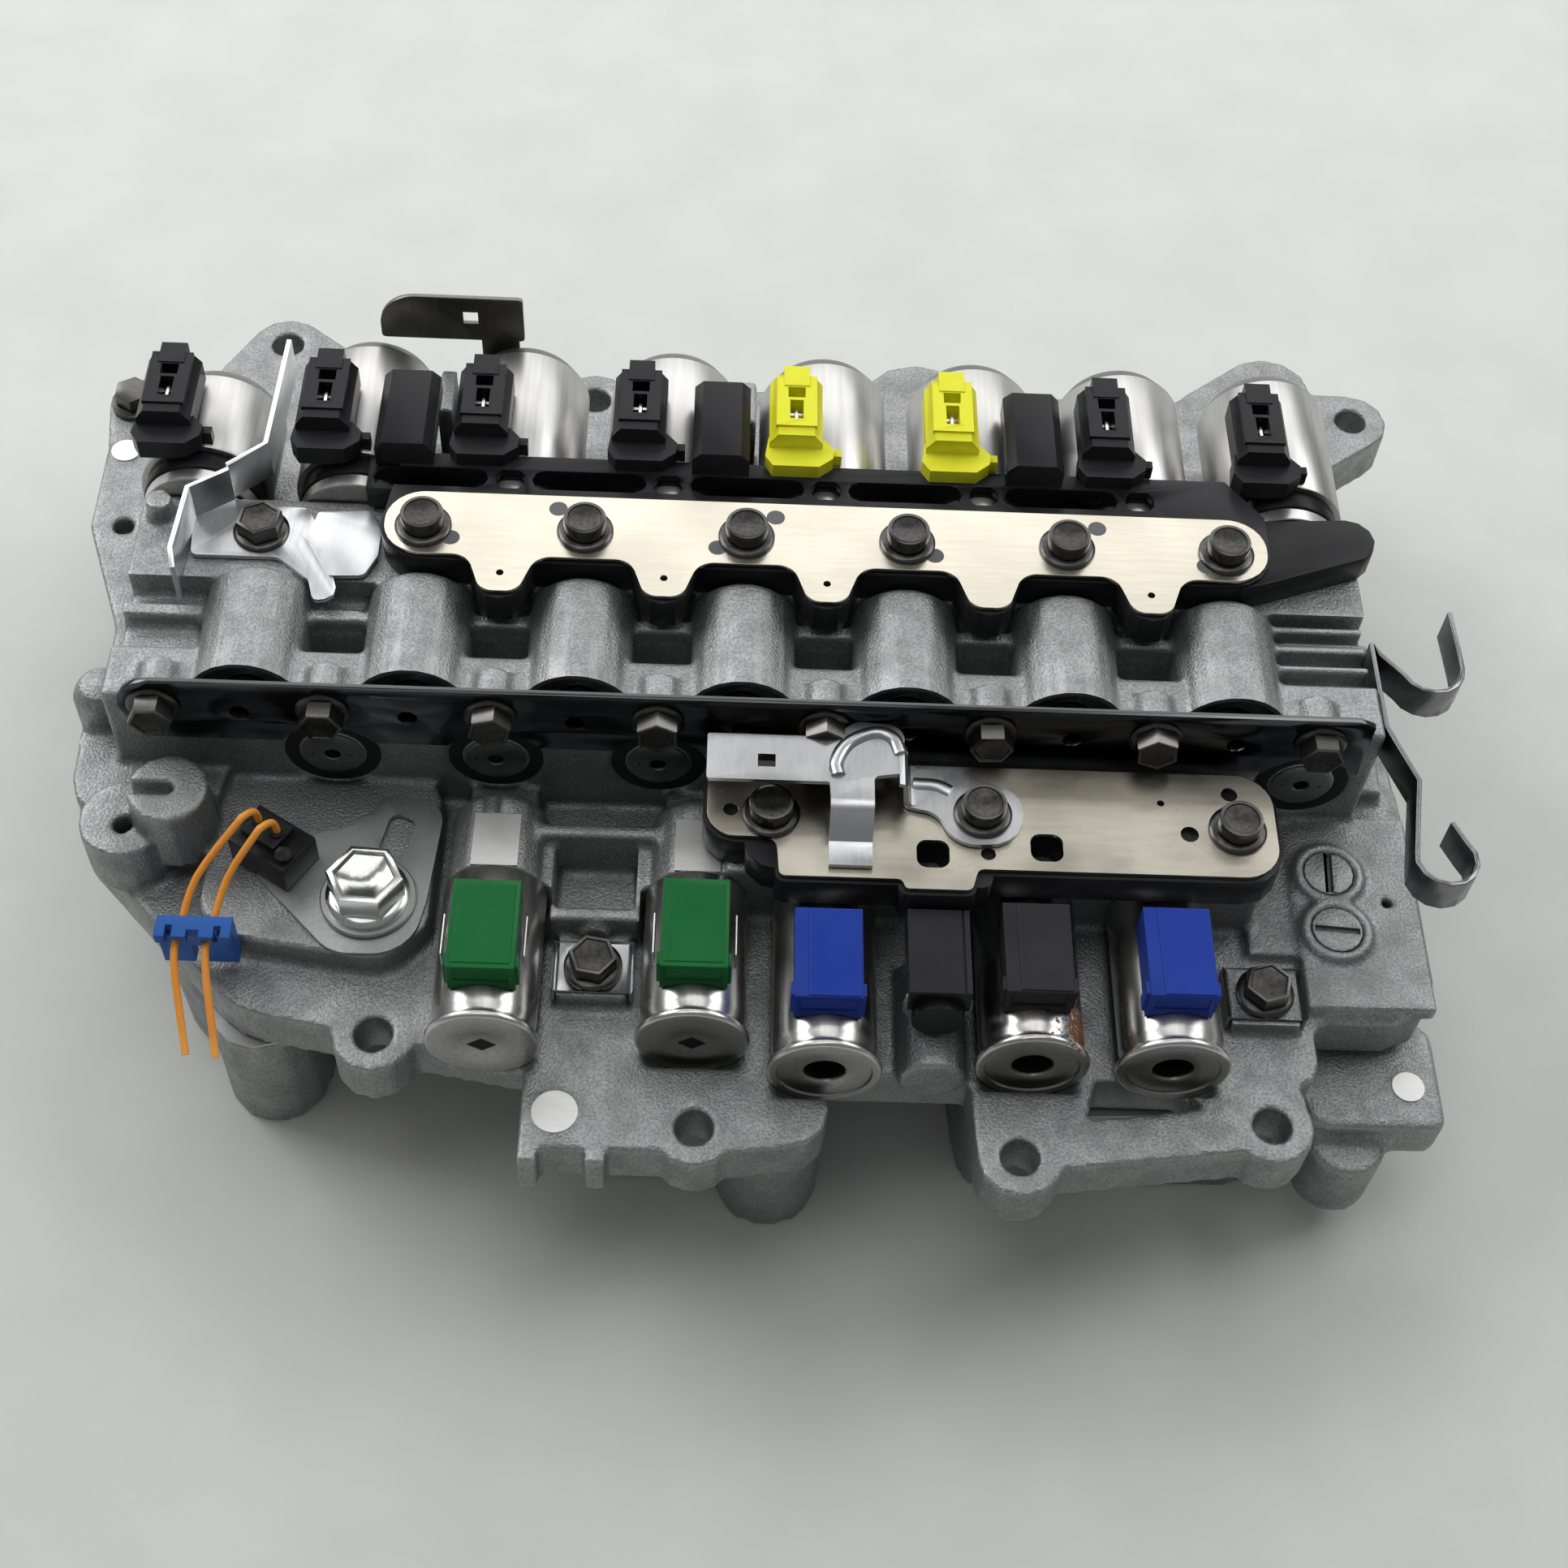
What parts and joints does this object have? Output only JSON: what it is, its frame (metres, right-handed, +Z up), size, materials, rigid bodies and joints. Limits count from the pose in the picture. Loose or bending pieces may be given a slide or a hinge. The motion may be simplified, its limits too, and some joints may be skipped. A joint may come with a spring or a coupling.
{
  "type": "transmission valve body",
  "caption": "Cast aluminium transmission valve body with rear and front solenoid rows, contact plates, damper bosses, sheet brackets and a wired temperature sensor.",
  "frame": {"origin": "centre of the bounding box in plan, at the underside of the lower casting", "axes": "+X along the length to the viewer's right, +Y away from the front solenoids, +Z up out of the upper casting"},
  "size_m": [0.37, 0.277, 0.113],
  "materials": {
    "cast_aluminium": "as-cast, matt grey",
    "separator_steel": "plain rolled sheet",
    "solenoid_steel": "turned and nickel plated, bright",
    "contact_plate": "brushed, bright",
    "bracket_steel": "zinc plated sheet",
    "spring_steel": "oiled spring steel",
    "dark_steel": "dark phosphated",
    "piston_steel": "ground, oiled",
    "zinc": "bright zinc plated",
    "black_plastic": "moulded, slight sheen",
    "yellow_plastic": "moulded",
    "green_plastic": "moulded, smooth",
    "blue_plastic": "moulded, smooth",
    "blue_holder": "moulded",
    "orange_insulation": "extruded sleeve"
  },
  "bodies": {
    "unit": {"upper_body": "cast_aluminium", "separator_plate": "separator_steel", "lower_body": "cast_aluminium", "rear_can_1": "solenoid_steel", "rear_connector_1": "black_plastic", "rear_can_2": "solenoid_steel", "rear_connector_2": "black_plastic", "rear_can_3": "solenoid_steel", "rear_connector_3": "black_plastic", "rear_can_4": "solenoid_steel", "rear_connector_4": "black_plastic", "rear_can_5": "solenoid_steel", "rear_connector_5": "yellow_plastic", "rear_can_6": "solenoid_steel", "rear_connector_6": "yellow_plastic", "rear_can_7": "solenoid_steel", "rear_connector_7": "black_plastic", "rear_can_8": "solenoid_steel", "rear_connector_8": "black_plastic", "upper_housing": "black_plastic", "upper_contact_plate": "contact_plate", "retaining_plate": "dark_steel", "front_can_1": "solenoid_steel", "front_connector_1": "green_plastic", "front_can_2": "solenoid_steel", "front_connector_2": "green_plastic", "front_can_3": "solenoid_steel", "front_connector_3": "blue_plastic", "front_can_4": "solenoid_steel", "front_connector_4": "black_plastic", "front_can_5": "solenoid_steel", "front_connector_5": "blue_plastic", "lower_housing": "black_plastic", "lower_contact_plate": "contact_plate", "clip_bracket": "bracket_steel", "retaining_clip_1": "bracket_steel", "retaining_clip_2": "dark_steel", "left_bracket": "bracket_steel", "rear_tab_bracket": "dark_steel", "rear_flange_bolt": "dark_steel", "hook_bracket": "spring_steel", "slotted_plug_1": "zinc", "slotted_plug_2": "zinc", "centre_switch": "black_plastic", "sensor_bracket": "bracket_steel", "sensor_bolt": "zinc", "temperature_sensor": "black_plastic", "sensor_wire_1": "orange_insulation", "sensor_wire_2": "orange_insulation", "wire_holder": "blue_holder"},
    "damper_1": {"damper_piston_1": "piston_steel"},
    "damper_2": {"damper_piston_2": "piston_steel"},
    "damper_3": {"damper_piston_3": "piston_steel"},
    "damper_4": {"damper_piston_4": "piston_steel"},
    "damper_5": {"damper_piston_5": "piston_steel"},
    "damper_6": {"damper_piston_6": "piston_steel"},
    "damper_7": {"damper_piston_7": "piston_steel"}
  },
  "joints": [
    {"name": "damper_slide_1", "type": "slide", "parent": "unit", "child": "damper_1", "axis": [0, 1, 0], "range_m": [0, 0.008], "stiffness_N_per_m": 400, "springref_m": -0.002},
    {"name": "damper_slide_2", "type": "slide", "parent": "unit", "child": "damper_2", "axis": [0, 1, 0], "range_m": [0, 0.008], "stiffness_N_per_m": 400, "springref_m": -0.002},
    {"name": "damper_slide_3", "type": "slide", "parent": "unit", "child": "damper_3", "axis": [0, 1, 0], "range_m": [0, 0.008], "stiffness_N_per_m": 400, "springref_m": -0.002},
    {"name": "damper_slide_4", "type": "slide", "parent": "unit", "child": "damper_4", "axis": [0, 1, 0], "range_m": [0, 0.008], "stiffness_N_per_m": 400, "springref_m": -0.002},
    {"name": "damper_slide_5", "type": "slide", "parent": "unit", "child": "damper_5", "axis": [0, 1, 0], "range_m": [0, 0.008], "stiffness_N_per_m": 400, "springref_m": -0.002},
    {"name": "damper_slide_6", "type": "slide", "parent": "unit", "child": "damper_6", "axis": [0, 1, 0], "range_m": [0, 0.008], "stiffness_N_per_m": 400, "springref_m": -0.002},
    {"name": "damper_slide_7", "type": "slide", "parent": "unit", "child": "damper_7", "axis": [0, 1, 0], "range_m": [0, 0.008], "stiffness_N_per_m": 400, "springref_m": -0.002}
  ]
}
